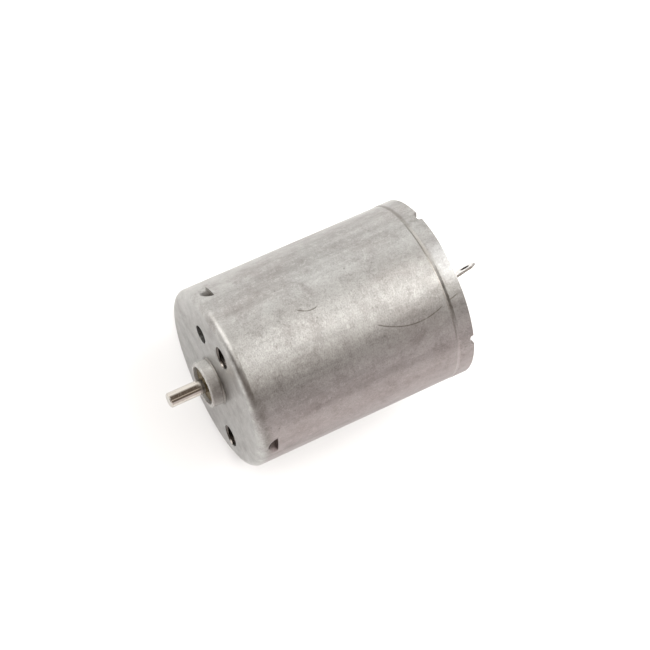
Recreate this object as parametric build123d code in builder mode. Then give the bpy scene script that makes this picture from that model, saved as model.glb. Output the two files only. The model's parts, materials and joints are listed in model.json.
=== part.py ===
# A small brushed permanent-magnet DC motor, 24.4 mm across, built as its real pieces.
#
# Frame: millimetres. The origin is the centre of the front mounting face, on the shaft's axis.
# The motor lies along Y, with its output shaft towards -Y and its terminals towards +Y.
# +Z is up, through the upper terminal. The magnets sit to the left and right, on -X and +X.
# A "station" is a distance behind the mounting face, so it is a Y value.

from build123d import *
import math
import os

# Can: one deep-drawn steel cup with a drawn boss on its closed front
CAN_RADIUS = 12.2
CAN_LENGTH = 31.2
CAN_WALL = 1.0
CAN_CORNER = 1.0
CAN_INNER_CORNER = 0.6
BOSS_RADIUS = 3.08
BOSS_HEIGHT = 1.7
BOSS_BASE_FILLET = 0.25
BOSS_TIP_FILLET = 0.2

# Mouth of the can: a shallow crease, then a slightly swollen band, thinned inside to seat the end plate
CREASE_STATION = 28.85
CREASE_DEPTH = 0.03
CREASE_LEAD = 0.15
BAND_SLOPE = 0.35
BAND_RISE = 0.06
RIM_FILLET = 0.12
MOUTH_RADIUS = 11.5
SEAT_STATION = 29.4

# Holes through the front wall: angle from +X towards +Z, distance from the axis
VENT_HOLE_RADIUS = 1.25
VENT_HOLE_DISTANCE = 6.9
VENT_HOLE_ANGLE = 150
SCREW_HOLE_RADIUS = 1.5
SCREW_HOLE_DISTANCE = 8.5
SCREW_HOLE_ANGLES = (105, -30)

# Lanced stops behind the front corner: half-ball dents, sheared across their rear side
STOP_STATION = 2.7
STOP_HALF_WIDTH = 1.35
STOP_DEPTH = 0.85
STOP_WALL = 0.75
STOP_ANGLE = 30
STOP_RIM_FILLET = 0.45

# Stakes: nicks in the can's rim whose metal is pressed in over the end plate
STAKE_ANGLE = 45
STAKE_WIDTH = 1.45
STAKE_DEPTH = 0.55
STAKE_CORNER = 0.3
STAKE_LIP_WIDTH = 1.1
STAKE_LIP_REACH = 0.45

# Output shaft and its two sintered bushings
SHAFT_RADIUS = 1.0
SHAFT_FRONT = -6.5
SHAFT_REAR = 32.0
SHAFT_CHAMFER = 0.15
RELIEF_FRONT = -1.6
RELIEF_REAR = -1.0
RELIEF_DEPTH = 0.05
BUSHING_RADIUS = 2.6
BUSHING_BORE = 1.02
BUSHING_LENGTH = 2.4
BUSHING_CHAMFER = 0.2
FRONT_BUSHING_STATION = -1.3
REAR_BUSHING_STATION = 29.8

# End plate: a pressed steel disc with a drawn boss, staked into the can's mouth
PLATE_RADIUS = MOUTH_RADIUS - 0.03
PLATE_THICKNESS = 1.0
PLATE_REAR = SEAT_STATION + PLATE_THICKNESS
PLATE_BOSS_HEIGHT = 2.2
PLATE_EDGE_CHAMFER = 0.2
WINDOW_WIDTH = 2.6
WINDOW_HEIGHT = 4.4
PEG_RADIUS = 0.9
PEG_DISTANCE = 8.0
PEG_HEAD_RADIUS = 1.3
PEG_HEAD_HEIGHT = 0.45

# Magnets: two ferrite arcs on +X and -X, and the two spring clips that push them apart
MAGNET_OUTER_RADIUS = CAN_RADIUS - CAN_WALL - 0.02
MAGNET_INNER_RADIUS = 8.55
MAGNET_HALF_ANGLE = 58
MAGNET_FRONT = 2.9
MAGNET_LENGTH = 20.0
MAGNET_CHAMFER = 0.3
CLIP_THICKNESS = 0.4
CLIP_CREST_RADIUS = 10.75
CLIP_TOE_RADIUS = 8.95
CLIP_FRONT = 6.0
CLIP_LENGTH = 14.0

# Armature: a stack of three-pole laminations, wound with three coils
POLE_COUNT = 3
POLE_START_ANGLE = 90
CORE_RADIUS = 8.1
CORE_FRONT = 6.0
LAMINATION_COUNT = 28
LAMINATION_PITCH = 0.5
LAMINATION_THICKNESS = 0.48
CORE_LENGTH = LAMINATION_COUNT * LAMINATION_PITCH
CORE_REAR = CORE_FRONT + CORE_LENGTH
CORE_HUB_RADIUS = 3.0
ARM_WIDTH = 3.0
SHOE_THICKNESS = 1.1
SLOT_OPENING = 1.9
INSULATOR_THICKNESS = 0.5
INSULATOR_OVERHANG = 0.2
COIL_INNER_RADIUS = 3.5
COIL_OUTER_RADIUS = CORE_RADIUS - SHOE_THICKNESS - 0.15
COIL_THICKNESS = 2.1
COIL_CORNER = 1.6

# Commutator: three copper bars on a moulded hub, with a ring varistor over its risers
COMMUTATOR_RADIUS = 2.8
BAR_THICKNESS = 0.5
BAR_SLIT = 0.35
BAR_FRONT = 23.95
BAR_REAR = 28.1
RISER_THICKNESS = 0.3
RISER_REACH = 4.5
RISER_WIDTH = 1.6
HUB_RADIUS = COMMUTATOR_RADIUS - BAR_THICKNESS
HUB_FRONT = CORE_REAR + INSULATOR_THICKNESS
HUB_REAR = 28.6
COLLAR_RADIUS = 2.75
VARISTOR_RADIUS = 4.8
VARISTOR_BORE = 2.4
VARISTOR_FRONT = 23.2

# Washers and spacers on the shaft, each from its front station to its rear one
WASHER_RADIUS = 2.1
FRONT_THRUST_WASHER = (1.3, 1.7)
FRONT_OIL_WASHER = (1.7, 2.0)
FRONT_SPACER = (2.0, 5.5)
REAR_OIL_WASHER = (28.6, 28.9)
REAR_THRUST_WASHER = (28.9, 29.4)

# Brush gear: a moulded holder that carries two terminals, two spring arms and two carbon brushes
HOLDER_RADIUS = 11.0
HOLDER_FRONT = 27.9
HOLDER_OPENING = 3.6
HOLDER_BLOCK_FRONT = 24.9
HOLDER_BLOCK_WIDTH = 3.2
HOLDER_BLOCK_HEIGHT = 4.0
COLLAR_WIDTH = WINDOW_WIDTH - 0.2
COLLAR_HEIGHT = WINDOW_HEIGHT - 0.2
COLLAR_REAR = 30.9
TERMINAL_DISTANCE = 7.9
TERMINAL_OFFSET = 0.5
TERMINAL_WIDTH = 2.6
TERMINAL_THICKNESS = 0.3
TERMINAL_FRONT = 25.1
TERMINAL_BEND = 31.0
TERMINAL_BLADE_LENGTH = 4.6
TERMINAL_TIP_CHAMFER = 0.9
TERMINAL_EYE_RADIUS = 0.6
TERMINAL_EYE_INSET = 1.35
TERMINAL_LEAN = 9.0
TERMINAL_SKEW = 7.5
SLOT_CLEARANCE = 0.02
BRUSH_GAP = 0.12
BRUSH_LENGTH = 1.5
BRUSH_WIDTH = 2.0
BRUSH_FRONT = 25.2
ARM_THICKNESS = 0.2
ARM_FRONT = 25.1
ARM_DEPTH = 2.2
ARM_TAIL = -1.7
ARM_BEND_RADIUS = 1.2

REARWARD = (0, 1, 0)
SAME = 1e-3

os.makedirs("parts", exist_ok=True)


def station(distance):
    """The cross-section plane at a distance behind the mounting face. Its local axes are X and Z."""
    return Plane.XZ.offset(-distance)


def radial(angle):
    """The unit vector at an angle from +X towards +Z."""
    return Vector(math.cos(math.radians(angle)), 0, math.sin(math.radians(angle)))


def save(piece, name):
    """Label a finished piece and write it as its own file."""
    piece.part.label = name
    export_step(piece.part, f"parts/{name}.step")


def ring(outer_radius, bore_radius, stations, edge_break):
    """A turned ring between two stations, with its outer edges broken."""
    front, rear = stations
    with BuildPart() as turned:
        with BuildSketch(station(front)):
            Circle(outer_radius)
            Circle(bore_radius, mode=Mode.SUBTRACT)
        extrude(amount=rear - front, dir=REARWARD)
        outer_edges = turned.edges().filter_by(GeomType.CIRCLE).group_by(SortBy.RADIUS)[-1]
        chamfer(outer_edges, edge_break)
    return turned


def circles(piece, radius, distance):
    """The circular edges of a piece with this radius at this station."""
    rings = piece.edges().filter_by(GeomType.CIRCLE).filter_by(lambda edge: abs(edge.radius - radius) < SAME)
    return rings.filter_by_position(Axis.Y, distance - SAME, distance + SAME)


# ---- Stator: the can ----------------------------------------------------------------------

can_inner_radius = CAN_RADIUS - CAN_WALL
band_radius = CAN_RADIUS + BAND_RISE

# The ball that dents the can, placed so that the dent has the stated width and depth
stop_ball_radius = (STOP_HALF_WIDTH**2 + STOP_DEPTH**2) / (2 * STOP_DEPTH)
stop_ball_distance = CAN_RADIUS - STOP_DEPTH + stop_ball_radius


stop_slice = STOP_STATION - CAN_WALL

with BuildPart() as stop_bulge:
    Sphere(stop_ball_radius + STOP_WALL)
    span = 2 * (stop_ball_radius + STOP_WALL)
    Box(span, span, stop_slice, align=(Align.CENTER, Align.CENTER, Align.MIN), mode=Mode.INTERSECT)

# The can's side with four whole dents, whose rims are rounded before the stops are sheared through them
with BuildPart() as dented_side:
    with BuildSketch(station(CAN_WALL)):
        Circle(CAN_RADIUS)
    extrude(amount=2 * stop_slice, dir=REARWARD)
    for start_angle in (STOP_ANGLE, 180 - STOP_ANGLE):
        with Locations(station(STOP_STATION)):
            with PolarLocations(stop_ball_distance, 2, start_angle):
                Sphere(stop_ball_radius, mode=Mode.SUBTRACT)
    dents = dented_side.faces().filter_by(GeomType.SPHERE)
    fillet([edge for dent in dents for edge in dent.edges()], STOP_RIM_FILLET)

with BuildPart() as stop_die:
    with BuildSketch(station(CAN_WALL)):
        Circle(2 * CAN_RADIUS)
    extrude(amount=stop_slice, dir=REARWARD)
    add(dented_side.part, mode=Mode.SUBTRACT)

with BuildPart() as stake_punch:
    Box(2 * CAN_WALL, STAKE_WIDTH, 2 * STAKE_DEPTH)
    fillet(stake_punch.edges().filter_by(Axis.X).group_by(Axis.Z)[-1], STAKE_CORNER)

with BuildPart() as can:
    with BuildSketch(Plane.XY):
        with BuildLine():
            Polyline(
                (BUSHING_RADIUS, -BOSS_HEIGHT),
                (BOSS_RADIUS, -BOSS_HEIGHT),
                (BOSS_RADIUS, 0),
                (CAN_RADIUS, 0),
                (CAN_RADIUS, CREASE_STATION - CREASE_LEAD),
                (CAN_RADIUS - CREASE_DEPTH, CREASE_STATION),
                (band_radius, CREASE_STATION + BAND_SLOPE),
                (band_radius, CAN_LENGTH),
                (MOUTH_RADIUS, CAN_LENGTH),
                (MOUTH_RADIUS, SEAT_STATION),
                (can_inner_radius, SEAT_STATION),
                (can_inner_radius, CAN_WALL),
                (BUSHING_RADIUS, CAN_WALL),
                close=True,
            )
        make_face()
    revolve(axis=Axis.Y)
    fillet(circles(can, CAN_RADIUS, 0), CAN_CORNER)
    fillet(circles(can, can_inner_radius, CAN_WALL), CAN_INNER_CORNER)
    fillet(circles(can, BOSS_RADIUS, 0), BOSS_BASE_FILLET)
    fillet(circles(can, BOSS_RADIUS, -BOSS_HEIGHT), BOSS_TIP_FILLET)
    fillet(circles(can, band_radius, CAN_LENGTH), RIM_FILLET)

    # Vent hole and the two tapped screw holes
    with BuildSketch(station(0)):
        with PolarLocations(VENT_HOLE_DISTANCE, 1, VENT_HOLE_ANGLE):
            Circle(VENT_HOLE_RADIUS)
        for angle in SCREW_HOLE_ANGLES:
            with PolarLocations(SCREW_HOLE_DISTANCE, 1, angle):
                Circle(SCREW_HOLE_RADIUS)
    extrude(amount=CAN_WALL, dir=REARWARD, mode=Mode.SUBTRACT)

    # Lanced stops: metal pushed in from outside, so each dent has a bulge behind it
    for start_angle in (STOP_ANGLE, 180 - STOP_ANGLE):
        with Locations(station(STOP_STATION)):
            with PolarLocations(stop_ball_distance, 2, start_angle):
                add(stop_bulge.part)
    add(stop_die.part, mode=Mode.SUBTRACT)

    # Stakes: a nick in the rim, and the lip of metal that it pressed over the end plate
    with Locations(station(CAN_LENGTH)):
        with PolarLocations(MOUTH_RADIUS, 4, STAKE_ANGLE):
            add(stake_punch.part, mode=Mode.SUBTRACT)
    with BuildSketch(station(PLATE_REAR)):
        with PolarLocations(MOUTH_RADIUS - STAKE_LIP_REACH / 2, 4, STAKE_ANGLE):
            Rectangle(2 * STAKE_LIP_REACH, STAKE_LIP_WIDTH)
    extrude(amount=CAN_LENGTH - STAKE_DEPTH - PLATE_REAR, dir=REARWARD)
save(can, "can")

# ---- Stator: bushings ---------------------------------------------------------------------

for name, front in (("front_bushing", FRONT_BUSHING_STATION), ("rear_bushing", REAR_BUSHING_STATION)):
    bushing = ring(BUSHING_RADIUS, BUSHING_BORE, (front, front + BUSHING_LENGTH), BUSHING_CHAMFER)
    save(bushing, name)

# ---- Stator: magnets and their spring clips -----------------------------------------------


def magnet(middle_angle):
    """A ferrite arc segment centred on an angle, with its long inner edges broken."""
    start = middle_angle - MAGNET_HALF_ANGLE
    with BuildPart() as segment:
        with BuildSketch(station(MAGNET_FRONT)):
            with BuildLine():
                outer = CenterArc((0, 0), MAGNET_OUTER_RADIUS, start, 2 * MAGNET_HALF_ANGLE)
                inner = CenterArc((0, 0), MAGNET_INNER_RADIUS, start, 2 * MAGNET_HALF_ANGLE)
                Line(outer @ 0, inner @ 0)
                Line(outer @ 1, inner @ 1)
            make_face()
        extrude(amount=MAGNET_LENGTH, dir=REARWARD)
        ends = segment.faces().filter_by(Axis.Y).edges().filter_by(GeomType.CIRCLE)
        chamfer(ends.group_by(SortBy.RADIUS)[0], MAGNET_CHAMFER)
    return segment


def magnet_clip(middle_angle):
    """A bent spring strip between the magnets: two legs along their edges and an arched crest."""
    gap_half_angle = 90 - MAGNET_HALF_ANGLE
    stand_off = math.degrees(CLIP_THICKNESS / 2 / CLIP_TOE_RADIUS)
    leg_angle = gap_half_angle - stand_off
    with BuildPart() as clip:
        with BuildSketch(station(CLIP_FRONT)):
            with BuildLine():
                crest = CenterArc((0, 0), CLIP_CREST_RADIUS, middle_angle - leg_angle, 2 * leg_angle)
                for corner in (crest @ 0, crest @ 1):
                    Line(corner, corner * (CLIP_TOE_RADIUS / CLIP_CREST_RADIUS))
            trace(line_width=CLIP_THICKNESS)
        extrude(amount=CLIP_LENGTH, dir=REARWARD)
    return clip


save(magnet(0), "magnet_right")
save(magnet(180), "magnet_left")
save(magnet_clip(90), "magnet_clip_upper")
save(magnet_clip(270), "magnet_clip_lower")

# ---- Stator: end plate and brush holder ---------------------------------------------------

plate_boss_rear = PLATE_REAR + PLATE_BOSS_HEIGHT

with BuildPart() as end_plate:
    with BuildSketch(station(SEAT_STATION)):
        Circle(PLATE_RADIUS)
    extrude(amount=PLATE_THICKNESS, dir=REARWARD)
    with BuildSketch(station(PLATE_REAR)):
        Circle(BOSS_RADIUS)
    extrude(amount=PLATE_BOSS_HEIGHT, dir=REARWARD)
    fillet(circles(end_plate, BOSS_RADIUS, PLATE_REAR), BOSS_BASE_FILLET)
    fillet(circles(end_plate, BOSS_RADIUS, plate_boss_rear), BOSS_TIP_FILLET)
    chamfer(circles(end_plate, PLATE_RADIUS, PLATE_REAR), PLATE_EDGE_CHAMFER)
    with BuildSketch(station(SEAT_STATION)):
        Circle(BUSHING_RADIUS)
        for side in (1, -1):
            with Locations((TERMINAL_OFFSET * side, TERMINAL_DISTANCE * side)):
                Rectangle(WINDOW_WIDTH, WINDOW_HEIGHT)
            with Locations((PEG_DISTANCE * side, 0)):
                Circle(PEG_RADIUS + SLOT_CLEARANCE)
    extrude(amount=PLATE_THICKNESS + PLATE_BOSS_HEIGHT, dir=REARWARD, mode=Mode.SUBTRACT)
save(end_plate, "end_plate")

with BuildPart() as brush_holder:
    with BuildSketch(station(HOLDER_FRONT)):
        Circle(HOLDER_RADIUS)
        Circle(HOLDER_OPENING, mode=Mode.SUBTRACT)
    extrude(amount=SEAT_STATION - HOLDER_FRONT, dir=REARWARD)
    # Blocks that grip the terminals, and the collars that insulate them through the end plate
    for side in (1, -1):
        middle = (TERMINAL_OFFSET * side, TERMINAL_DISTANCE * side)
        with BuildSketch(station(HOLDER_BLOCK_FRONT)):
            with Locations(middle):
                Rectangle(HOLDER_BLOCK_WIDTH, HOLDER_BLOCK_HEIGHT)
        extrude(amount=HOLDER_FRONT - HOLDER_BLOCK_FRONT, dir=REARWARD)
        with BuildSketch(station(SEAT_STATION)):
            with Locations(middle):
                Rectangle(COLLAR_WIDTH, COLLAR_HEIGHT)
        extrude(amount=COLLAR_REAR - SEAT_STATION, dir=REARWARD)
        # Pegs through the end plate, with their heads melted over
        with BuildSketch(station(SEAT_STATION)):
            with Locations((PEG_DISTANCE * side, 0)):
                Circle(PEG_RADIUS)
        extrude(amount=PLATE_THICKNESS, dir=REARWARD)
        with BuildSketch(station(PLATE_REAR)):
            with Locations((PEG_DISTANCE * side, 0)):
                Circle(PEG_HEAD_RADIUS)
        extrude(amount=PEG_HEAD_HEIGHT, dir=REARWARD, taper=30)
    # Slots for the terminals, and wider ones in front for the feet of the brush arms
    for side in (1, -1):
        middle = (TERMINAL_OFFSET * side, TERMINAL_DISTANCE * side)
        with BuildSketch(station(HOLDER_BLOCK_FRONT)):
            with Locations(middle):
                Rectangle(TERMINAL_THICKNESS + 2 * SLOT_CLEARANCE, TERMINAL_WIDTH + 2 * SLOT_CLEARANCE)
        extrude(amount=COLLAR_REAR - HOLDER_BLOCK_FRONT, dir=REARWARD, mode=Mode.SUBTRACT)
        foot_middle = TERMINAL_OFFSET + (TERMINAL_THICKNESS + ARM_THICKNESS) / 2
        with BuildSketch(station(HOLDER_BLOCK_FRONT)):
            with Locations((foot_middle * side, TERMINAL_DISTANCE * side)):
                Rectangle(ARM_THICKNESS + 2 * SLOT_CLEARANCE, HOLDER_BLOCK_HEIGHT)
        extrude(amount=HOLDER_FRONT - HOLDER_BLOCK_FRONT, dir=REARWARD, mode=Mode.SUBTRACT)
save(brush_holder, "brush_holder")

# ---- Stator: terminals, brush arms and brushes --------------------------------------------


def terminal(side, lean, skew):
    """A stamped blade: a foot inside the holder, and an eyed tag outside, which may lean and be skewed."""
    foot_centre = Vector(TERMINAL_OFFSET * side, 0, TERMINAL_DISTANCE * side)
    foot_length = TERMINAL_BEND - TERMINAL_FRONT
    foot_plane = Plane(foot_centre + Vector(0, TERMINAL_FRONT, 0), x_dir=REARWARD, z_dir=(1, 0, 0))
    bend_plane = Plane(foot_centre + Vector(0, TERMINAL_BEND, 0), x_dir=REARWARD, z_dir=(1, 0, 0))
    tag_plane = bend_plane.rotated((0, skew, lean))
    with BuildPart() as blade:
        with BuildSketch(foot_plane):
            with Locations((foot_length / 2, 0)):
                Rectangle(foot_length, TERMINAL_WIDTH)
        extrude(amount=TERMINAL_THICKNESS / 2, both=True)
        with BuildSketch(tag_plane):
            with Locations((TERMINAL_BLADE_LENGTH / 2, 0)):
                tag = Rectangle(TERMINAL_BLADE_LENGTH, TERMINAL_WIDTH)
            chamfer(tag.vertices().group_by(Axis.X)[-1], TERMINAL_TIP_CHAMFER)
            with Locations((TERMINAL_BLADE_LENGTH - TERMINAL_EYE_INSET, 0)):
                Circle(TERMINAL_EYE_RADIUS, mode=Mode.SUBTRACT)
        extrude(amount=TERMINAL_THICKNESS / 2, both=True)
    return blade


def brush_arm(side):
    """A leaf spring from a terminal's foot, past the commutator, with the brush on its free end."""
    foot_x = TERMINAL_OFFSET + (TERMINAL_THICKNESS + ARM_THICKNESS) / 2
    back_x = COMMUTATOR_RADIUS + BRUSH_GAP + BRUSH_LENGTH + ARM_THICKNESS / 2
    foot_top = TERMINAL_DISTANCE + TERMINAL_WIDTH / 2
    foot_bottom = TERMINAL_DISTANCE - HOLDER_BLOCK_HEIGHT / 2 - ARM_BEND_RADIUS / 2
    route = [(foot_x, foot_top), (foot_x, foot_bottom), (back_x, BRUSH_WIDTH), (back_x, ARM_TAIL)]
    with BuildPart() as arm:
        with BuildSketch(station(ARM_FRONT)):
            with BuildLine():
                FilletPolyline(*[(x * side, z * side) for x, z in route], radius=ARM_BEND_RADIUS)
            trace(line_width=ARM_THICKNESS)
        extrude(amount=ARM_DEPTH, dir=REARWARD)
    return arm


def brush(side):
    """A carbon block beside the commutator, hollowed to its curve."""
    face_radius = COMMUTATOR_RADIUS + BRUSH_GAP
    back_x = face_radius + BRUSH_LENGTH
    with BuildPart() as block:
        with BuildSketch(station(BRUSH_FRONT)):
            with Locations((side * back_x / 2, 0)):
                Rectangle(back_x, BRUSH_WIDTH)
            Circle(face_radius, mode=Mode.SUBTRACT)
        extrude(amount=BRUSH_WIDTH, dir=REARWARD)
    return block


save(terminal(1, TERMINAL_LEAN, TERMINAL_SKEW), "terminal_upper")
save(terminal(-1, 0, 0), "terminal_lower")
for name, side in (("right", 1), ("left", -1)):
    save(brush_arm(side), f"brush_arm_{name}")
    save(brush(side), f"brush_{name}")

# ---- Rotor: shaft and armature ------------------------------------------------------------

with BuildPart() as shaft:
    with BuildSketch(station(SHAFT_FRONT)):
        Circle(SHAFT_RADIUS)
    extrude(amount=SHAFT_REAR - SHAFT_FRONT, dir=REARWARD)
    chamfer(shaft.edges().filter_by(GeomType.CIRCLE), SHAFT_CHAMFER)
    # A shallow hollow ring inside the boss, which stops oil from creeping out along the shaft
    with BuildSketch(Plane.XY):
        with BuildLine():
            ThreePointArc(
                (SHAFT_RADIUS, RELIEF_FRONT),
                (SHAFT_RADIUS - RELIEF_DEPTH, (RELIEF_FRONT + RELIEF_REAR) / 2),
                (SHAFT_RADIUS, RELIEF_REAR),
            )
            Line((SHAFT_RADIUS, RELIEF_REAR), (SHAFT_RADIUS, RELIEF_FRONT))
        make_face()
    revolve(axis=Axis.Y, mode=Mode.SUBTRACT)
save(shaft, "shaft")


def core_outline(outer_radius, arm_width, shoe_thickness):
    """The three-pole cross-section of a lamination: hub, arms and pole shoes, around the shaft's hole."""
    Circle(outer_radius)
    Circle(outer_radius - shoe_thickness, mode=Mode.SUBTRACT)
    with PolarLocations(outer_radius, POLE_COUNT, POLE_START_ANGLE + 180 / POLE_COUNT):
        Rectangle(4 * shoe_thickness, SLOT_OPENING, mode=Mode.SUBTRACT)
    with PolarLocations(outer_radius / 2, POLE_COUNT, POLE_START_ANGLE):
        Rectangle(outer_radius - shoe_thickness / 2, arm_width)
    Circle(CORE_HUB_RADIUS)
    Circle(SHAFT_RADIUS, mode=Mode.SUBTRACT)


with BuildPart() as laminations:
    sheet_stations = [station(CORE_FRONT + i * LAMINATION_PITCH) for i in range(LAMINATION_COUNT)]
    with BuildSketch(*sheet_stations):
        core_outline(CORE_RADIUS, ARM_WIDTH, SHOE_THICKNESS)
    extrude(amount=LAMINATION_THICKNESS, dir=REARWARD)
save(laminations, "armature_laminations")

for name, front in (
    ("front_core_insulator", CORE_FRONT - INSULATOR_THICKNESS),
    ("rear_core_insulator", CORE_REAR),
):
    with BuildPart() as insulator:
        with BuildSketch(station(front)):
            core_outline(
                CORE_RADIUS - INSULATOR_OVERHANG,
                ARM_WIDTH + 2 * INSULATOR_OVERHANG,
                SHOE_THICKNESS - INSULATOR_OVERHANG,
            )
        extrude(amount=INSULATOR_THICKNESS, dir=REARWARD)
    save(insulator, name)


def coil(pole_angle):
    """A winding around one pole: a rounded frame of wire that fills the slot up to the pole shoe."""
    core_middle = (CORE_FRONT + CORE_REAR) / 2
    inside_length = CORE_LENGTH + 2 * INSULATOR_THICKNESS + 2 * SLOT_CLEARANCE
    inside_width = ARM_WIDTH + 2 * INSULATOR_OVERHANG + 2 * SLOT_CLEARANCE
    foot = radial(pole_angle) * COIL_INNER_RADIUS + Vector(0, core_middle, 0)
    with BuildPart() as winding:
        with BuildSketch(Plane(foot, x_dir=REARWARD, z_dir=radial(pole_angle))):
            outer_length = inside_length + 2 * COIL_THICKNESS
            RectangleRounded(outer_length, inside_width + 2 * COIL_THICKNESS, COIL_CORNER)
            Rectangle(inside_length, inside_width, mode=Mode.SUBTRACT)
        extrude(amount=COIL_OUTER_RADIUS)
        with BuildSketch(station(0)):
            Circle(COIL_OUTER_RADIUS)
        extrude(amount=CAN_LENGTH, dir=REARWARD, mode=Mode.INTERSECT)
    return winding


for number in range(POLE_COUNT):
    save(coil(POLE_START_ANGLE + number * 360 / POLE_COUNT), f"coil_{number + 1}")

# ---- Rotor: commutator --------------------------------------------------------------------

with BuildPart() as commutator_hub:
    with BuildSketch(station(HUB_FRONT)):
        Circle(HUB_RADIUS)
    extrude(amount=HUB_REAR - HUB_FRONT, dir=REARWARD)
    with BuildSketch(station(BAR_REAR)):
        Circle(COLLAR_RADIUS)
    extrude(amount=HUB_REAR - BAR_REAR, dir=REARWARD)
    with BuildSketch(station(HUB_FRONT)):
        Circle(SHAFT_RADIUS)
    extrude(amount=HUB_REAR - HUB_FRONT, dir=REARWARD, mode=Mode.SUBTRACT)
save(commutator_hub, "commutator_hub")


def commutator_bar(middle_angle):
    """A curved copper bar with a riser tab at its front, to which a coil end is soldered."""
    middle_radius = COMMUTATOR_RADIUS - BAR_THICKNESS / 2
    half_angle = 180 / POLE_COUNT - math.degrees(BAR_SLIT / 2 / middle_radius)
    with BuildPart() as bar:
        with BuildSketch(station(BAR_FRONT)):
            with BuildLine():
                CenterArc((0, 0), middle_radius, middle_angle - half_angle, 2 * half_angle)
            trace(line_width=BAR_THICKNESS)
        extrude(amount=BAR_REAR - BAR_FRONT, dir=REARWARD)
        with BuildSketch(station(BAR_FRONT)):
            with PolarLocations((middle_radius + RISER_REACH) / 2, 1, middle_angle):
                Rectangle(RISER_REACH - middle_radius, RISER_WIDTH)
        extrude(amount=RISER_THICKNESS, dir=REARWARD)
    return bar


for number in range(POLE_COUNT):
    bar_angle = POLE_START_ANGLE + 180 / POLE_COUNT + number * 360 / POLE_COUNT
    save(commutator_bar(bar_angle), f"commutator_bar_{number + 1}")

save(ring(VARISTOR_RADIUS, VARISTOR_BORE, (VARISTOR_FRONT, BAR_FRONT), SHAFT_CHAMFER), "ring_varistor")

# ---- Rotor: washers and spacers on the shaft ----------------------------------------------

for name, stations in (
    ("front_thrust_washer", FRONT_THRUST_WASHER),
    ("front_oil_washer", FRONT_OIL_WASHER),
    ("front_spacer", FRONT_SPACER),
    ("rear_oil_washer", REAR_OIL_WASHER),
    ("rear_thrust_washer", REAR_THRUST_WASHER),
):
    save(ring(WASHER_RADIUS, SHAFT_RADIUS, stations, SHAFT_CHAMFER / 2), name)
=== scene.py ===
import json
import math

import bmesh
import bpy
from mathutils import Matrix, Vector


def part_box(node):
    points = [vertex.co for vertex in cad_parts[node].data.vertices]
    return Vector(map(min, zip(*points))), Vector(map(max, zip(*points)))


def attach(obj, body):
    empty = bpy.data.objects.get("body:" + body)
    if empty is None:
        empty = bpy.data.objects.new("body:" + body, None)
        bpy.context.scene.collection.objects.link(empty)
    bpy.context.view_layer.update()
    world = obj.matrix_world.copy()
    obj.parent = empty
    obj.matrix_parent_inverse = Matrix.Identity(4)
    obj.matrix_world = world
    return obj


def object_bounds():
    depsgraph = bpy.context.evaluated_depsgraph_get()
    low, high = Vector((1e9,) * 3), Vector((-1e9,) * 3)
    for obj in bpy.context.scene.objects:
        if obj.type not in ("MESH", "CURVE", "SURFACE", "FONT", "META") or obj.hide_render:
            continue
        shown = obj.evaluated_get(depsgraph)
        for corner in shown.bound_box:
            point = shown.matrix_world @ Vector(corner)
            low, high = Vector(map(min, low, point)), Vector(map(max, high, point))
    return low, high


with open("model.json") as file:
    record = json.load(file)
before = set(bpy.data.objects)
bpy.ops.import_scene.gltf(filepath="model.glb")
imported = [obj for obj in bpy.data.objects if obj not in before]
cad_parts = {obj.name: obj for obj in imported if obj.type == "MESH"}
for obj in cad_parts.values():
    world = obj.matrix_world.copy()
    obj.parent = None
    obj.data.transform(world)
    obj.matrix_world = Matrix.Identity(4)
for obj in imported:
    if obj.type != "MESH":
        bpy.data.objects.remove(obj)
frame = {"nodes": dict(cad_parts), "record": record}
CAD_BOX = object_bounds()
NODES = frame["nodes"]
MOUNTS = {mount["name"]: mount for mount in frame["record"]["mounts"]}
MM = 0.001

# ---- Places read from the frame ------------------------------------------------------------

CAN_LOW, CAN_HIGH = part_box("can")
FLOOR_HEIGHT = CAD_BOX[0].z
CAN_RADIUS = (CAN_HIGH.x - CAN_LOW.x) / 2

# ---- Node materials ------------------------------------------------------------------------


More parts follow.
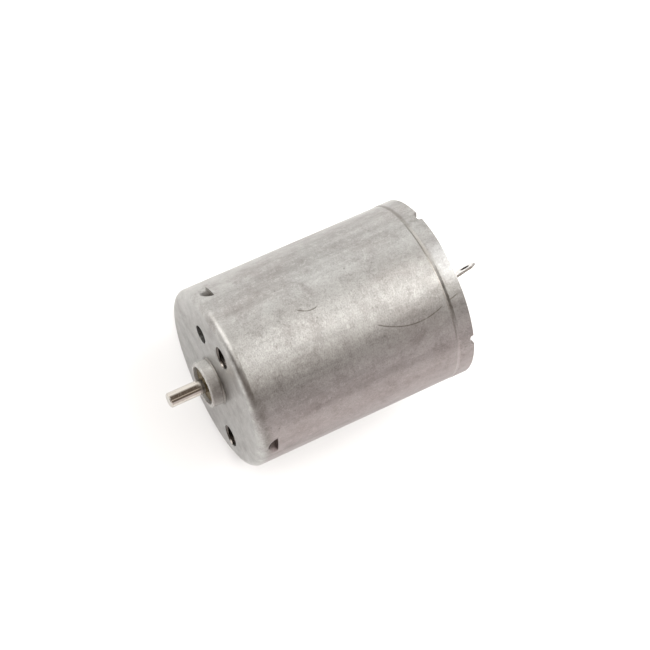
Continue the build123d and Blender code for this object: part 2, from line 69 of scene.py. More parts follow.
class Wiring:
    """Adds and joins the nodes of one shader tree. Place is where its patterns are worked out."""

    def __init__(self, tree, coordinates):
        self.tree = tree
        self.place = tree.nodes.new("ShaderNodeTexCoord").outputs[coordinates]

    def node(self, kind, **settings):
        made = self.tree.nodes.new(kind)
        for key, value in settings.items():
            setattr(made, key, value)
        return made

    def feed(self, socket, value):
        if isinstance(value, bpy.types.NodeSocket):
            self.tree.links.new(value, socket)
        elif isinstance(value, tuple) and len(value) == 3 and socket.type == "RGBA":
            socket.default_value = (*value, 1)
        else:
            socket.default_value = value

    def math(self, operation, first, second=0.0):
        made = self.node("ShaderNodeMath", operation=operation)
        self.feed(made.inputs[0], first)
        self.feed(made.inputs[1], second)
        return made.outputs[0]

    def remap(self, value, start, end, low=0.0, high=1.0):
        """Runs smoothly from low, where the value is at the start, to high at the end."""
        made = self.node("ShaderNodeMapRange", interpolation_type="SMOOTHSTEP")
        for key, number in (("From Min", start), ("From Max", end), ("To Min", low), ("To Max", high)):
            made.inputs[key].default_value = number
        self.feed(made.inputs["Value"], value)
        return made.outputs["Result"]

    def mix(self, factor, first, second, blend="MIX"):
        made = self.node("ShaderNodeMix", data_type="RGBA", blend_type=blend)
        self.feed(made.inputs["Factor"], factor)
        self.feed(made.inputs[6], first)
        self.feed(made.inputs[7], second)
        return made.outputs[2]

    def axes(self):
        """The x, y and z coordinates, in metres."""
        made = self.node("ShaderNodeSeparateXYZ")
        self.feed(made.inputs[0], self.place)
        return made.outputs["X"], made.outputs["Y"], made.outputs["Z"]

    def around(self):
        """The angle round the shaft's axis from +X towards +Z, in degrees."""
        x, _, z = self.axes()
        return self.math("DEGREES", self.math("ARCTAN2", z, x))

    def product(self, first, *others):
        """The masks multiplied together: 1 only where every one of them is 1."""
        for other in others:
            first = self.math("MULTIPLY", first, other)
        return first

    def near(self, value, middle, reach, soft):
        """1 where the value is within reach of the middle, and fading over soft on both sides of that."""
        off = self.math("ABSOLUTE", self.math("SUBTRACT", value, middle))
        return self.remap(off, reach - soft, reach + soft, 1.0, 0.0)


class Finish(Wiring):
    """A Principled material, with helpers that wire procedural detail into it."""

    def __init__(self, name, metallic, roughness, colour):
        self.material = bpy.data.materials.new(name)
        self.material.use_nodes = True
        super().__init__(self.material.node_tree, "Object")
        self.shader = self.tree.nodes["Principled BSDF"]
        self.colour = colour
        self.shader.inputs["Metallic"].default_value = metallic
        self.shader.inputs["Roughness"].default_value = roughness
        self.shader.inputs["Base Color"].default_value = (*colour, 1)
        self.rough = roughness
        self.normal = None

    def stretched(self, stretch):
        """The object's coordinates, scaled along each axis."""
        made = self.node("ShaderNodeMapping")
        self.feed(made.inputs["Vector"], self.place)
        made.inputs["Scale"].default_value = stretch
        return made.outputs["Vector"]

    def noise(self, size, detail=4.0, roughness=0.55, stretch=(1, 1, 1), shift=0.0):
        """Cloudy noise whose largest lumps are about size across, in metres."""
        made = self.node("ShaderNodeTexNoise", noise_dimensions="4D")
        self.feed(made.inputs["Vector"], self.stretched(stretch))
        made.inputs["W"].default_value = shift
        made.inputs["Scale"].default_value = 1 / size
        made.inputs["Detail"].default_value = detail
        made.inputs["Roughness"].default_value = roughness
        return made.outputs["Fac"]

    def cells(self, size):
        """Distance to the nearest of many scattered points, which are about size apart."""
        made = self.node("ShaderNodeTexVoronoi")
        self.feed(made.inputs["Vector"], self.place)
        made.inputs["Scale"].default_value = 1 / size
        return made.outputs["Distance"]

    def tint(self, mask, colour):
        """Turns the colour towards another one where the mask is 1."""
        self.colour = self.mix(mask, self.colour, colour)
        self.feed(self.shader.inputs["Base Color"], self.colour)

    def dye(self, mask, colour):
        """Multiplies the colour by another one where the mask is 1."""
        self.colour = self.mix(mask, self.colour, colour, "MULTIPLY")
        self.feed(self.shader.inputs["Base Color"], self.colour)

    def roughen(self, mask, amount):
        """Adds amount to the roughness where the mask is 1."""
        self.rough = self.math("ADD", self.rough, self.math("MULTIPLY", mask, amount))
        self.feed(self.shader.inputs["Roughness"], self.rough)

    def bump(self, height, depth, strength=1.0):
        """Raises the surface by depth, in metres, where the height is 1."""
        made = self.node("ShaderNodeBump")
        made.inputs["Strength"].default_value = strength
        made.inputs["Distance"].default_value = depth
        self.feed(made.inputs["Height"], height)
        if self.normal is not None:
            self.feed(made.inputs["Normal"], self.normal)
        self.normal = made.outputs["Normal"]
        self.feed(self.shader.inputs["Normal"], self.normal)

    def axis_distance(self, centre=(0.0, 0.0, 0.0)):
        """Distance from the line through the centre that runs along Y, in metres."""
        x, _, z = self.axes()
        across = self.math("POWER", self.math("SUBTRACT", x, centre[0]), 2.0)
        upward = self.math("POWER", self.math("SUBTRACT", z, centre[2]), 2.0)
        return self.math("SQRT", self.math("ADD", across, upward))


def shade(colour, share):
    """The same colour, darker or lighter."""
    return tuple(share * part for part in colour)


def plated_steel(name, colour, stain, roughness):
    """Dull plated sheet steel: cloudy stains, satin grain, rubbed strokes, specks and bright rubs."""
    steel = Finish(name, 1.0, roughness, colour)
    clouds = steel.noise(9 * MM, detail=8, roughness=0.72, stretch=(1, 0.7, 1))
    steel.tint(steel.remap(clouds, 0.42, 0.72, 0.0, 0.7), stain)
    drawn = steel.noise(2.4 * MM, detail=5, roughness=0.6, stretch=(1, 0.1, 1), shift=17.0)
    steel.dye(steel.remap(drawn, 0.42, 0.68), (0.76, 0.755, 0.75))
    patches = steel.noise(2.5 * MM, detail=7, roughness=0.75, shift=3.0)
    steel.tint(steel.remap(patches, 0.45, 0.75, 0.0, 0.8), shade(stain, 0.72))
    rubbed = steel.noise(0.9 * MM, detail=5, roughness=0.8, shift=8.0)
    steel.tint(steel.remap(rubbed, 0.48, 0.72, 0.0, 0.5), shade(colour, 1.35))
    specks = steel.cells(2.3 * MM)
    steel.tint(steel.remap(specks, 0.03, 0.08, 0.4, 0.0), shade(stain, 0.4))
    grain = steel.noise(0.2 * MM, detail=4, roughness=0.75)
    steel.tint(steel.remap(grain, 0.3, 0.55, 0.4, 0.0), shade(stain, 0.5))
    steel.tint(steel.remap(grain, 0.55, 0.75, 0.0, 0.5), shade(colour, 1.4))
    strokes = steel.noise(0.3 * MM, detail=4, roughness=0.65, stretch=(0.4, 1.5, 0.4), shift=11.0)
    steel.roughen(steel.remap(grain, 0.35, 0.65), 0.1)
    steel.roughen(steel.remap(clouds, 0.45, 0.7), 0.06)
    steel.bump(grain, 0.017 * MM, 0.7)
    steel.bump(strokes, 0.018 * MM, 0.7)
    steel.bump(steel.noise(1.6 * MM, detail=3), 0.02 * MM, 0.35)
    steel.bump(steel.noise(3.6 * MM, detail=2, shift=21.0), 0.07 * MM, 0.6)
    return steel


SCREW_HOLES = ("screw_hole_upper", "screw_hole_lower")
BOSS_RADIUS = MOUNTS["pilot_boss"]["dims"]["r_mm"] * MM
CREASE_STATION = CAN_HIGH.y - 2.35 * MM
STOP_STATION = 2.7 * MM
# Dark grime for the scuff strokes, also used as painted shade and as a painted dark reflection
GRIME_AND_PAINTED_SHADE = (0.1, 0.085, 0.07)
# Painted shade, with a warm tint, for the can's +X side
PAINTED_SIDE_SHADE_TINT = (0.73, 0.635, 0.64)
# Painted reflection for the crease's +X edge, and painted highlight for the band behind the crease
PAINTED_EDGE_REFLECTION = (0.5, 0.455, 0.45)
PAINTED_BAND_HIGHLIGHT = (1.22, 1.24, 1.28)
# Painted light for the boss, which mirrors the dark opening overhead
BOSS_PAINTED_LIGHT = (1.5, 1.5, 1.5)
# Each scuff's first and last stations and the station where it turns, in mm, its angle there in
# degrees, and how many degrees it bends away from that for each square mm along the can
CAN_SCUFFS = (
    (19.0, 27.9, 24.6, 72.3, 0.28),
    (10.4, 12.9, 12.2, 104.9, 1.07),
    (29.1, 30.3, 28.0, 76.8, 0.35),
)
SCUFF_HALF_WIDTH = 0.32
SCUFF_STRENGTH = 0.75


def painted_side_shade(steel):
    """Painted shade with a warm tint along the +X side, from behind the front corner, thinning out
    underneath: the side is darkened as if it mirrored a shadowed floor.
    """
    x, y, z = steel.axes()
    side = steel.remap(x, 0.3 * CAN_RADIUS, CAN_RADIUS)
    behind_corner = steel.remap(y, 0.5 * MM, 2.0 * MM)
    upper = steel.remap(z, -0.7 * CAN_RADIUS, -0.2 * CAN_RADIUS, 0.25, 1.0)
    steel.dye(steel.product(side, behind_corner, upper), PAINTED_SIDE_SHADE_TINT)


def scuffs_and_corner_reflection(steel, broken):
    """Long curved strokes of grime, broken up along their length, and a patchy painted dark reflection
    just behind the front corner.
    """
    _, y, _ = steel.axes()
    around = steel.around()
    for start, end, turning, angle, bend in CAN_SCUFFS:
        away = steel.math("DIVIDE", steel.math("SUBTRACT", y, turning * MM), MM)
        path = steel.math("ADD", angle, steel.math("MULTIPLY", bend, steel.math("POWER", away, 2.0)))
        off_path = steel.math("SUBTRACT", around, path)
        line = steel.near(off_path, 0.0, SCUFF_HALF_WIDTH, 0.9 * SCUFF_HALF_WIDTH)
        part = steel.near(y, (start + end) / 2 * MM, (end - start) / 2 * MM, 0.3 * MM)
        patchy = steel.remap(broken, 0.3, 0.5, 0.4, 1.0)
        steel.tint(steel.product(line, part, SCUFF_STRENGTH, patchy), GRIME_AND_PAINTED_SHADE)
    # Painted dark reflection in a patchy strip just behind the front corner
    behind_corner = steel.near(y, 1.35 * MM, 0.5 * MM, 0.45 * MM)
    patchy = steel.remap(broken, 0.35, 0.6, 0.15, 0.5)
    steel.tint(steel.product(behind_corner, steel.near(around, 46, 24, 12), patchy), GRIME_AND_PAINTED_SHADE)


def crease_shade_and_highlights(steel):
    """Painted shade in the crease at the top and on its -X slope, a painted reflection on its edge at +X
    and a painted highlight on the band behind.
    """
    x, y, z = steel.axes()
    # Painted shade in the crease, on top only, and on its -X slope
    groove = steel.near(y, CREASE_STATION - 0.08 * MM, 0.1 * MM, 0.08 * MM)
    top = steel.remap(z, 0.6 * CAN_RADIUS, 0.9 * CAN_RADIUS, 0.0, 0.6)
    steel.tint(steel.product(groove, top), GRIME_AND_PAINTED_SHADE)
    slope = steel.near(y, CREASE_STATION + 0.15 * MM, 0.2 * MM, 0.15 * MM)
    left = steel.remap(x, -0.1 * CAN_RADIUS, -0.4 * CAN_RADIUS, 0.0, 0.45)
    steel.tint(steel.product(slope, left), GRIME_AND_PAINTED_SHADE)
    # Painted reflection on the crease's +X edge
    edge = steel.near(y, CREASE_STATION + 0.05 * MM, 0.2 * MM, 0.1 * MM)
    right = steel.remap(x, 0.55 * CAN_RADIUS, 0.75 * CAN_RADIUS, 0.0, 0.3)
    steel.tint(steel.product(edge, right), PAINTED_EDGE_REFLECTION)
    # Painted highlight on the band behind the crease
    band = steel.remap(y, CREASE_STATION + 0.4 * MM, CREASE_STATION + 0.8 * MM)
    steel.dye(steel.product(band, steel.near(steel.around(), 101, 12, 8)), PAINTED_BAND_HIGHLIGHT)


def painted_corner_shade(steel):
    """Painted shade round the boss's foot, on the walls of the tapped holes and down in the magnet stops.
    """
    _, y, _ = steel.axes()
    foot = steel.near(steel.axis_distance(), BOSS_RADIUS + 0.1 * MM, 0.16 * MM, 0.1 * MM)
    steel.tint(steel.product(foot, steel.near(y, -0.1 * MM, 0.2 * MM, 0.1 * MM), 0.6), GRIME_AND_PAINTED_SHADE)
    for name in SCREW_HOLES:
        away = steel.axis_distance(MOUNTS[name]["pos_m"])
        reach = MOUNTS[name]["dims"]["r_mm"] * MM
        wall = steel.remap(away, reach + 0.05 * MM, reach + 0.15 * MM, 0.75, 0.0)
        steel.tint(steel.product(wall, steel.remap(y, 0.05 * MM, 0.15 * MM)), GRIME_AND_PAINTED_SHADE)
    sunk = steel.remap(steel.axis_distance(), CAN_RADIUS - 0.75 * MM, CAN_RADIUS - 0.25 * MM, 0.65, 0.0)
    steel.tint(steel.product(sunk, steel.near(y, STOP_STATION, 1.6 * MM, 0.2 * MM)), GRIME_AND_PAINTED_SHADE)


def can_steel():
    """The can's steel: painted shade with a warm tint along one side, scuffed, painted shade and
    highlights at the crease and in its corners, and painted paler on its boss.
    """
    steel = plated_steel("can_steel", (0.394, 0.392, 0.38), (0.287, 0.264, 0.252), 0.32)
    painted_side_shade(steel)
    scuffs_and_corner_reflection(steel, steel.noise(0.7 * MM, detail=4, roughness=0.7, shift=14.0))
    crease_shade_and_highlights(steel)
    painted_corner_shade(steel)
    _, y, _ = steel.axes()
    # Painted light: the boss is painted paler, and made rougher, where it mirrors the dark opening
    # overhead
    boss = steel.remap(y, -0.4 * MM, -0.1 * MM, 1.0, 0.0)
    steel.roughen(boss, 0.3)
    steel.dye(boss, BOSS_PAINTED_LIGHT)
    return steel.material


def plate_steel():
    """The rear plate's steel: the same plating over straight rolling marks."""
    steel = plated_steel("plate_steel", (0.47, 0.465, 0.45), (0.37, 0.34, 0.31), 0.3)
    rolled = steel.noise(0.35 * MM, detail=4, stretch=(0.08, 1, 1), shift=5.0)
    steel.roughen(steel.remap(rolled, 0.4, 0.65), 0.1)
    steel.bump(rolled, 0.006 * MM, 0.5)
    return steel.material


def shaft_steel():
    """Ground steel: fine rings round the shaft, a few dull marks and a thin oil stain."""
    steel = Finish("shaft_steel", 1.0, 0.07, (0.50, 0.47, 0.43))
    rings = steel.noise(0.12 * MM, detail=3, stretch=(0.02, 1, 0.02))
    steel.roughen(steel.remap(rings, 0.4, 0.65), 0.09)
    steel.bump(rings, 0.002 * MM, 0.6)
    oil = steel.noise(1.5 * MM, detail=4, shift=2.0)
    steel.tint(steel.remap(oil, 0.5, 0.7, 0.0, 0.5), (0.33, 0.28, 0.21))
    marks = steel.noise(0.5 * MM, detail=5, roughness=0.7, stretch=(1, 0.3, 1), shift=6.0)
    steel.roughen(steel.remap(marks, 0.6, 0.72), 0.2)
    return steel.material


def sintered_bronze():
    """Porous bronze, dark with oil."""
    bronze = Finish("sintered_bronze", 0.85, 0.34, (0.13, 0.10, 0.05))
    pores = bronze.cells(0.12 * MM)
    bronze.tint(bronze.remap(pores, 0.12, 0.3, 0.9, 0.0), (0.03, 0.022, 0.012))
    oil = bronze.noise(0.9 * MM, detail=4)
    bronze.tint(bronze.remap(oil, 0.45, 0.65, 0.0, 0.7), (0.07, 0.06, 0.03))
    bronze.roughen(bronze.remap(oil, 0.4, 0.6, 1.0, 0.0), 0.22)
    bronze.bump(pores, 0.02 * MM, 0.6)
    return bronze.material


def tinned_brass():
    """Tin over brass: soft flow marks, handling scratches, dull sheared edges and dark eyes."""
    tin = Finish("tinned_brass", 1.0, 0.24, (0.56, 0.55, 0.53))
    flow = tin.noise(0.9 * MM, detail=5, roughness=0.6)
    tin.tint(tin.remap(flow, 0.48, 0.68, 0.0, 0.8), (0.40, 0.385, 0.36))
    warm = tin.noise(0.35 * MM, detail=4, shift=4.0)
    tin.tint(tin.remap(warm, 0.6, 0.75, 0.0, 0.6), (0.42, 0.34, 0.22))
    facing = tin.node("ShaderNodeSeparateXYZ")
    tin.feed(facing.inputs[0], tin.node("ShaderNodeNewGeometry").outputs["Normal"])
    sheared = tin.remap(tin.math("ABSOLUTE", facing.outputs["X"]), 0.5, 0.85, 0.8, 0.0)
    tin.tint(sheared, (0.14, 0.125, 0.115))
    for name in ("terminal_upper_eye", "terminal_lower_eye"):
        away = tin.node("ShaderNodeVectorMath", operation="DISTANCE")
        tin.feed(away.inputs[0], tin.place)
        away.inputs[1].default_value = MOUNTS[name]["pos_m"]
        eye = MOUNTS[name]["dims"]["r_mm"] * MM
        rim = tin.remap(away.outputs["Value"], 1.05 * eye, 1.25 * eye, 0.9, 0.0)
        tin.tint(rim, (0.04, 0.033, 0.028))
    scratches = tin.noise(0.1 * MM, detail=4, stretch=(1, 0.12, 1), shift=7.0)
    tin.roughen(tin.remap(scratches, 0.45, 0.7), 0.15)
    tin.bump(scratches, 0.003 * MM, 0.4)
    tin.bump(flow, 0.01 * MM, 0.3)
    return tin.material


def spring_metal(name, colour, dulled):
    """Rolled spring strip: straight rolling lines, heat tint and soft stains."""
    strip = Finish(name, 1.0, 0.28, colour)
    lines = strip.noise(0.1 * MM, detail=4, stretch=(1, 0.06, 1))
    strip.roughen(strip.remap(lines, 0.4, 0.65), 0.12)
    strip.bump(lines, 0.003 * MM, 0.6)
    stains = strip.noise(1.6 * MM, detail=5, shift=2.0)
    strip.tint(strip.remap(stains, 0.45, 0.7, 0.0, 0.8), dulled)
    return strip.material


def spring_bronze():
    return spring_metal("spring_bronze", (0.68, 0.44, 0.22), (0.46, 0.25, 0.12))


def spring_steel():
    return spring_metal("spring_steel", (0.30, 0.31, 0.34), (0.17, 0.16, 0.19))


def pressed_powder(name, colour, fleck, roughness, metallic=0.0):
    """Pressed and fired grains: a dull fine grain with paler flecks and small chips."""
    block = Finish(name, metallic, roughness, colour)
    grain = block.noise(0.12 * MM, detail=4, roughness=0.7)
    block.tint(block.remap(grain, 0.45, 0.7), shade(colour, 1.5))
    flecks = block.cells(0.4 * MM)
    block.tint(block.remap(flecks, 0.06, 0.14, 0.7, 0.0), fleck)
    chips = block.noise(1.2 * MM, detail=5, shift=5.0)
    block.roughen(block.remap(chips, 0.45, 0.65), 0.15)
    block.bump(grain, 0.012 * MM, 0.6)
    block.bump(block.remap(chips, 0.3, 0.45), 0.04 * MM, 0.5)
    return block.material


def ferrite():
    return pressed_powder("ferrite", (0.035, 0.035, 0.038), (0.16, 0.16, 0.17), 0.55)


def varistor_ceramic():
    return pressed_powder("varistor_ceramic", (0.075, 0.072, 0.08), (0.28, 0.26, 0.24), 0.6)


def carbon():
    return pressed_powder("carbon", (0.03, 0.03, 0.032), (0.13, 0.125, 0.12), 0.38, 0.35)


SHEET_THICKNESS = 0.5 * MM


def lamination_steel():
    """Stacked sheets: a thin shadow line at each joint, sheared edges and light rust."""
    steel = Finish("lamination_steel", 1.0, 0.38, (0.36, 0.37, 0.39))
    _, y, _ = steel.axes()
    sheet = steel.math("FRACT", steel.math("DIVIDE", y, SHEET_THICKNESS))
    seam = steel.remap(steel.math("PINGPONG", sheet, 0.5), 0.0, 0.08, 1.0, 0.0)
    steel.tint(seam, (0.07, 0.065, 0.065))
    rust = steel.noise(1.3 * MM, detail=6, roughness=0.65)
    steel.tint(steel.remap(rust, 0.56, 0.72, 0.0, 0.75), (0.24, 0.13, 0.07))
    sheared = steel.noise(0.1 * MM, detail=3, stretch=(1, 0.2, 1), shift=3.0)
    steel.roughen(steel.remap(sheared, 0.4, 0.65), 0.15)
    steel.bump(sheared, 0.006 * MM, 0.5)
    return steel.material


def pressed_fibre(name, colour, worn):
    """Pressed paper board: short crossed fibres, a soft sheen and fuzzy worn edges."""
    board = Finish(name, 0.0, 0.62, colour)
    along = board.noise(0.14 * MM, detail=4, stretch=(1, 0.15, 1))
    across = board.noise(0.14 * MM, detail=4, stretch=(0.15, 1, 0.4), shift=4.0)
    fibres = board.math("ADD", along, across)
    board.tint(board.remap(fibres, 0.9, 1.3, 0.0, 0.6), worn)
    clouds = board.noise(1.8 * MM, detail=4, shift=9.0)
    board.tint(board.remap(clouds, 0.5, 0.7, 0.0, 0.5), shade(colour, 0.6))
    board.roughen(board.remap(clouds, 0.4, 0.6), 0.12)
    board.bump(fibres, 0.01 * MM, 0.6)
    return board.material


def insulator_fibre():
    return pressed_fibre("insulator_fibre", (0.05, 0.20, 0.11), (0.14, 0.32, 0.2))


def fibre_washer():
    return pressed_fibre("fibre_washer", (0.28, 0.12, 0.05), (0.42, 0.24, 0.12))


WIRE_PITCH = 0.26 * MM


def copper_wire():
    """Layers of enamelled wire: a fine ridge for each turn, and amber varnish pooled between them."""
    wire = Finish("copper_wire", 1.0, 0.2, (0.62, 0.22, 0.08))
    radius = wire.axis_distance()
    turn = wire.math("FRACT", wire.math("DIVIDE", radius, WIRE_PITCH))
    ridge = wire.remap(wire.math("PINGPONG", turn, 0.5), 0.0, 0.5)
    wire.tint(wire.remap(ridge, 0.0, 0.5, 0.8, 0.0), (0.16, 0.045, 0.015))
    varnish = wire.noise(1.2 * MM, detail=4)
    wire.tint(wire.remap(varnish, 0.5, 0.7, 0.0, 0.6), (0.42, 0.16, 0.05))
    wire.roughen(wire.remap(varnish, 0.35, 0.6, 1.0, 0.0), 0.16)
    wire.bump(ridge, 0.08 * MM, 0.8)
    wire.shader.inputs["Coat Weight"].default_value = 0.5
    wire.shader.inputs["Coat Roughness"].default_value = 0.15
    return wire.material


def commutator_copper():
    """Turned copper with fine rings and a dark film where the brushes run."""
    copper = Finish("commutator_copper", 1.0, 0.22, (0.80, 0.42, 0.26))
    rings = copper.noise(0.1 * MM, detail=3, stretch=(0.03, 1, 0.03))
    copper.roughen(copper.remap(rings, 0.4, 0.65), 0.1)
    copper.bump(rings, 0.003 * MM, 0.6)
    low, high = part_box("brush_left")
    _, y, _ = copper.axes()
    off_track = copper.math("ABSOLUTE", copper.math("SUBTRACT", y, (low.y + high.y) / 2))
    half_track = (high.y - low.y) / 2
    track = copper.remap(off_track, 0.7 * half_track, 1.1 * half_track, 0.8, 0.0)
    smear = copper.noise(0.5 * MM, detail=5, stretch=(0.5, 1, 0.5), shift=2.0)
    copper.tint(copper.product(track, copper.remap(smear, 0.3, 0.6)), (0.22, 0.11, 0.07))
    return copper.material


def moulded(name, colour, scuff, roughness):
    """Moulded plastic: fine spark texture, faint flow marks and pale rubbed specks."""
    plastic = Finish(name, 0.0, roughness, colour)
    texture = plastic.noise(0.1 * MM, detail=3, roughness=0.6)
    plastic.roughen(plastic.remap(texture, 0.35, 0.65), 0.12)
    plastic.bump(texture, 0.01 * MM, 0.6)
    flow = plastic.noise(2.4 * MM, detail=4, stretch=(1, 0.4, 1), shift=3.0)
    plastic.tint(plastic.remap(flow, 0.45, 0.7, 0.0, 0.6), shade(colour, 1.35))
    rubs = plastic.noise(0.6 * MM, detail=6, roughness=0.7, shift=7.0)
    plastic.tint(plastic.remap(rubs, 0.6, 0.78, 0.0, 0.5), scuff)
    return plastic.material


def moulded_black():
    return moulded("moulded_black", (0.02, 0.02, 0.022), (0.12, 0.12, 0.12), 0.42)


def phenolic():
    return moulded("phenolic", (0.09, 0.035, 0.018), (0.25, 0.13, 0.08), 0.36)


def nylon():
    plastic = moulded("nylon", (0.62, 0.61, 0.55), (0.75, 0.74, 0.7), 0.4)
    plastic.node_tree.nodes["Principled BSDF"].inputs["Subsurface Weight"].default_value = 0.15
    return plastic


FINISHES = {
    "can_steel": can_steel,
    "plate_steel": plate_steel,
    "shaft_steel": shaft_steel,
    "sintered_bronze": sintered_bronze,
    "tinned_brass": tinned_brass,
    "spring_bronze": spring_bronze,
    "spring_steel": spring_steel,
    "ferrite": ferrite,
    "lamination_steel": lamination_steel,
    "insulator_fibre": insulator_fibre,
    "copper_wire": copper_wire,
    "commutator_copper": commutator_copper,
    "phenolic": phenolic,
    "varistor_ceramic": varistor_ceramic,
    "nylon": nylon,
    "fibre_washer": fibre_washer,
    "moulded_black": moulded_black,
    "carbon": carbon,
}

materials = {slot: make() for slot, make in FINISHES.items()}
for subpart in frame["record"]["subparts"]:
    mesh = NODES[subpart["node"]].data
    mesh.materials.clear()
    mesh.materials.append(materials[subpart["material_slot"]])

# ---- Screw threads -------------------------------------------------------------------------

THREAD_PITCH = 0.5 * MM
THREAD_CREST = 0.25 * MM
THREAD_FOOT = 0.02 * MM
THREAD_STEPS = 48
THREAD_TURNS = 1.5
# In turns round the hole from +X towards +Z
THREAD_START = -0.1
# The ridge's half width at its crest and at its foot, in pitches
THREAD_LAND = 0.07
THREAD_FLANK = 0.42
# The share of the ridge's length over which each end thins out
THREAD_RUN_IN = 1 / 6


def finished(shape, name, material, body):
    """Turns a bmesh into a piece of a material, with the given name and riding on a body."""
    mesh = bpy.data.meshes.new(name)
    shape.to_mesh(mesh)
    shape.free()
    mesh.materials.append(material)
    piece = bpy.data.objects.new(name, mesh)
    bpy.context.scene.collection.objects.link(piece)
    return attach(piece, body)


def cut_steel(mount):
    """Cut steel with fine tool lines and patches of dark old oil, clean on one side of its hole and
    darkened with painted shade on the other.
    """
    steel = Finish(f"cut_steel_{mount['name']}", 1.0, 0.24, (0.42, 0.385, 0.36))
    lines = steel.noise(0.1 * MM, detail=3, stretch=(1, 3, 1))
    steel.roughen(steel.remap(lines, 0.4, 0.65), 0.15)
    steel.bump(lines, 0.004 * MM, 0.6)
    oil = steel.noise(0.5 * MM, detail=3, shift=3.0)
    steel.tint(steel.remap(oil, 0.4, 0.6), (0.14, 0.115, 0.095))
    # Painted shade over the hole's -X side, leaving its +X side clean for glints
    x, _, _ = steel.axes()
    start = mount["pos_m"][0] + 0.1 * mount["dims"]["r_mm"] * MM
    end = mount["pos_m"][0] + 0.6 * mount["dims"]["r_mm"] * MM
    steel.tint(steel.remap(x, start, end, 0.85, 0.0), (0.07, 0.06, 0.052))
    return steel.material


def thread(mount):
    """A helical ridge that stands in from the wall of a tapped hole, thinning out at both ends."""
    centre = Vector(mount["pos_m"])
    wall = mount["dims"]["r_mm"] * MM
    start = centre.y - THREAD_TURNS * THREAD_PITCH / 2
    shape = bmesh.new()
    rings = []
    steps = round(THREAD_TURNS * THREAD_STEPS)
    for step in range(steps + 1):
        turn = THREAD_START - step / THREAD_STEPS
        fade = min(1.0, min(step, steps - step) / (THREAD_RUN_IN * steps))
        out = Vector((math.cos(2 * math.pi * turn), 0, math.sin(2 * math.pi * turn)))
        middle = start + step / THREAD_STEPS * THREAD_PITCH
        profile = [
            (wall + THREAD_FOOT, -THREAD_FLANK),
            (wall - fade * THREAD_CREST, -THREAD_LAND),
            (wall - fade * THREAD_CREST, THREAD_LAND),
            (wall + THREAD_FOOT, THREAD_FLANK),
        ]
        ring = []
        for radius, share in profile:
            spot = centre + radius * out
            spot.y = middle + share * THREAD_PITCH
            ring.append(shape.verts.new(spot))
        rings.append(ring)
    corners = len(rings[0])
    for first, second in zip(rings, rings[1:]):
        for side in range(corners):
            other = (side + 1) % corners
            shape.faces.new((first[side], first[other], second[other], second[side]))
    shape.faces.new(rings[0])
    shape.faces.new(rings[-1])
    bmesh.ops.recalc_face_normals(shape, faces=shape.faces)
    return finished(shape, f"thread_{mount['name']}", cut_steel(mount), "stator")


for name in SCREW_HOLES:
    thread(MOUNTS[name])

# ---- Floor, lights and camera --------------------------------------------------------------

FLOOR_SIZE = 3.0
# The floor is dark under the can. It turns pale over this length, out of the photo camera's sight
SHELTER_EDGE = 2.5 * MM
PAPER = (0.64, 0.64, 0.64)
PAPER_CLOUD = (0.66, 0.66, 0.66)
SHELTERED_PAPER = (0.12, 0.115, 0.11)


def paper():
    """Pale matt paper, with a dark patch under the can in place of the floor fill's shadow."""
    sheet = Finish("paper", 0.0, 0.8, PAPER)
    sheet.tint(sheet.noise(30 * MM, detail=2), PAPER_CLOUD)
    x, y, _ = sheet.axes()
    half_length = (CAN_HIGH.y - SHELTER_EDGE) / 2
    under = sheet.near(x, 0.0, CAN_RADIUS - SHELTER_EDGE / 2, SHELTER_EDGE / 2)
    along = sheet.near(y, CAN_HIGH.y - half_length, half_length, SHELTER_EDGE)
    sheet.tint(sheet.product(under, along), SHELTERED_PAPER)
    return sheet.material


def floor():
    """A plain pale sheet under the motor."""
    shape = bmesh.new()
    bmesh.ops.create_grid(shape, x_segments=4, y_segments=4, size=FLOOR_SIZE / 2)
    mesh = bpy.data.meshes.new("floor")
    shape.to_mesh(mesh)
    shape.free()
    mesh.materials.append(paper())
    sheet = bpy.data.objects.new("floor", mesh)
    sheet.location.z = FLOOR_HEIGHT
    bpy.context.scene.collection.objects.link(sheet)


# Colours are radiances. Each patch or panel has its middle and its full size, as an angle round the
# shaft from +X towards +Z and an angle rearward of the front face's plane, both in degrees. The tent
# turns from its right-hand colour to its left-hand one between the two angles of TENT_BLEND
WHITE = (1.0, 1.0, 1.0)
TENT_LEFT = (1.18, 1.168, 1.147)
TENT_RIGHT = (1.0, 0.91, 0.9)
TENT_BLEND = (40, 100)
OPENING = (0.19, 0.15, 0.12)
OPENING_PATCHES = (((86, -29), (98, 100)), ((120, 10), (56, 14)))
PATCH_EDGE = 8
PANELS = (
    ((98, 55), (38, 62), (7.0, 6.9, 6.7)),
    ((133, -19), (68, 40), (2.5, 2.46, 2.4)),
    ((158, 20), (50, 30), (0.45, 0.44, 0.43)),
    ((-2, -32), (26, 60), (0.6, 0.56, 0.54)),
    ((72, 12), (7, 26), (1.1, 1.0, 0.9)),
)


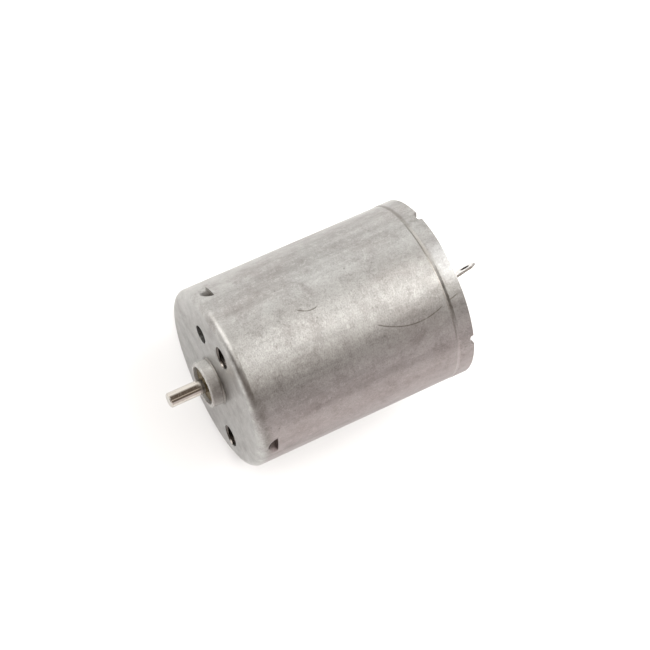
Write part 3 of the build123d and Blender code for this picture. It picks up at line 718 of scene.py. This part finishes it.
def studio_light():
    """A pale light tent round the motor, with a dark opening overhead and soft bright panels. The
    camera sees its outside as plain white."""
    world = bpy.data.worlds.new("studio")
    world.use_nodes = True
    tent = Wiring(world.node_tree, "Generated")
    around = tent.around()
    rearward = tent.math("DEGREES", tent.math("ARCSINE", tent.axes()[1]))

    def patch(place, size):
        across = tent.near(around, place[0], size[0] / 2, PATCH_EDGE)
        along = tent.near(rearward, place[1], size[1] / 2, PATCH_EDGE)
        return tent.product(across, along)

    glow = tent.mix(tent.remap(around, *TENT_BLEND), TENT_RIGHT, TENT_LEFT)
    for place, size in OPENING_PATCHES:
        glow = tent.mix(patch(place, size), glow, OPENING)
    for place, size, colour in PANELS:
        glow = tent.mix(patch(place, size), glow, colour, "ADD")
    seen = tent.node("ShaderNodeLightPath").outputs["Is Camera Ray"]
    tent.feed(tent.tree.nodes["Background"].inputs["Color"], tent.mix(seen, glow, WHITE))
    bpy.context.scene.world = world
    bpy.context.scene.view_settings.view_transform = "Standard"


FILL_SIZE = 1.2
FILL_HEIGHT = 0.5
FILL_RADIANCE = 1.25


def floor_fill():
    """A broad soft light that whitens the floor. It casts no shadow, and bare metal doesn't mirror it."""
    lamp = bpy.data.lights.new("floor_fill", "AREA")
    lamp.size = FILL_SIZE
    lamp.energy = FILL_RADIANCE * math.pi * FILL_SIZE ** 2
    lamp.use_shadow = False
    panel = bpy.data.objects.new("floor_fill", lamp)
    panel.location = (0, 0, FLOOR_HEIGHT + FILL_HEIGHT)
    panel.visible_camera = False
    panel.visible_glossy = False
    bpy.context.scene.collection.objects.link(panel)


# Fitted to the photo: where the lens stands, how steeply it looks down and its turn about its own view
CAMERA_PLACE = Vector((-0.735, -61.14, 259.78)) * MM
CAMERA_ELEVATION = 73.38
CAMERA_ROLL = 66.03
CAMERA_LENS = 116.04
NEAREST_SEEN = 0.01


def photo_camera():
    """The camera, standing where the photo was taken from."""
    lens = bpy.data.cameras.new("camera")
    lens.lens = CAMERA_LENS
    lens.clip_start = NEAREST_SEEN
    camera = bpy.data.objects.new("camera", lens)
    look = Matrix.Rotation(math.radians(90 - CAMERA_ELEVATION), 4, "X")
    roll = Matrix.Rotation(math.radians(CAMERA_ROLL), 4, "Z")
    camera.matrix_world = Matrix.Translation(CAMERA_PLACE) @ look @ roll
    bpy.context.scene.collection.objects.link(camera)
    bpy.context.scene.camera = camera


floor()
studio_light()
floor_fill()
photo_camera()
